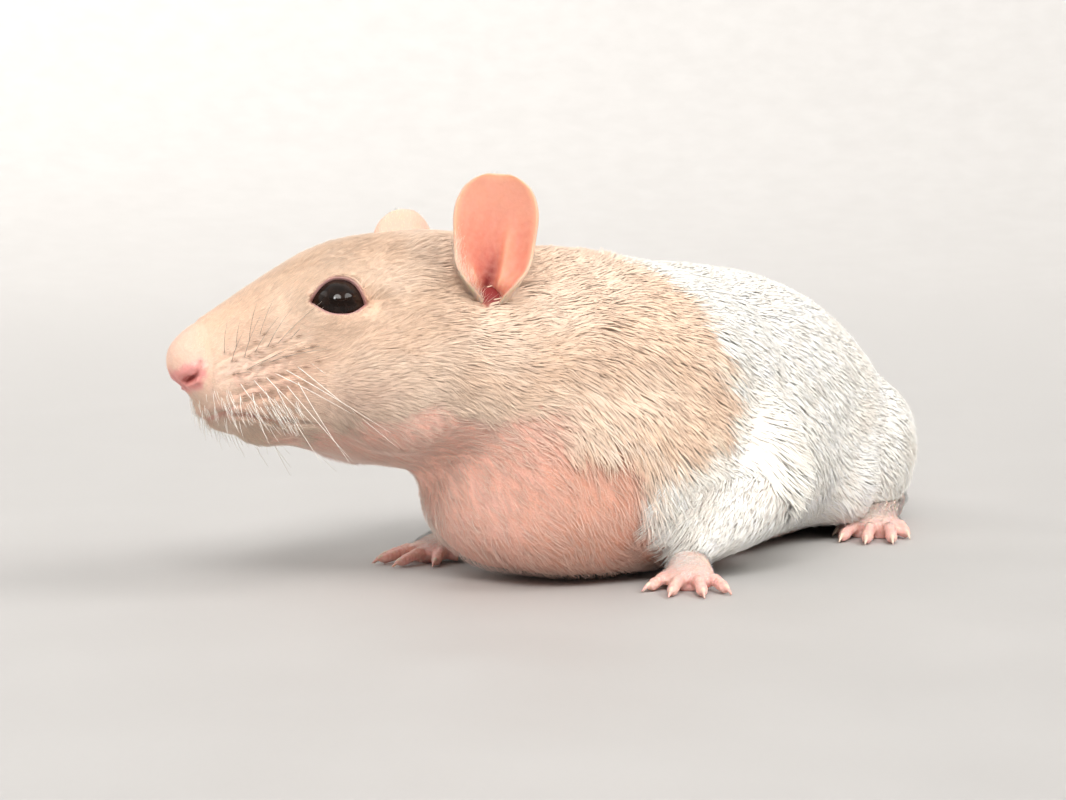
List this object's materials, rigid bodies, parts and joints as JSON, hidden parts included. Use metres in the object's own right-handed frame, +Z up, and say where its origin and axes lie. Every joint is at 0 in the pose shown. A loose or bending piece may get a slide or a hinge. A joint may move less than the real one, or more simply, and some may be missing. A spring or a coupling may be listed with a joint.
{
  "type": "fawn hooded rat figure",
  "caption": "Life-size still model of a fawn hooded pet rat, lying on its belly with its head raised and turned to its right.",
  "frame": {"origin": "on the floor under the middle of the bounding box", "axes": "+Z up, -Y the way that the trunk faces, +X to the animal's left"},
  "size_m": [0.1356, 0.2362, 0.0528],
  "materials": {
    "fawn_fur": "short dense fur, matt",
    "white_fur": "short dense fur, matt",
    "ear_skin": "thin bare skin, satin",
    "paw_skin": "bare skin, satin",
    "tail_skin": "scaly skin, satin",
    "eye": "wet, glossy"
  },
  "bodies": {
    "root": {"head": "fawn_fur", "jaw": "fawn_fur", "neck": "fawn_fur", "chest": "fawn_fur", "belly": "white_fur", "rump": "white_fur", "foreleg_left": "white_fur", "foreleg_right": "white_fur", "thigh_left": "white_fur", "thigh_right": "white_fur", "ear_left": "ear_skin", "ear_right": "ear_skin", "eye_left": "eye", "eye_right": "eye", "forepaw_left": "paw_skin", "forepaw_right": "paw_skin", "hindfoot_left": "paw_skin", "hindfoot_right": "paw_skin", "tail_1": "tail_skin", "tail_2": "tail_skin", "tail_3": "tail_skin", "tail_4": "tail_skin", "tail_5": "tail_skin"}
  },
  "joints": []
}
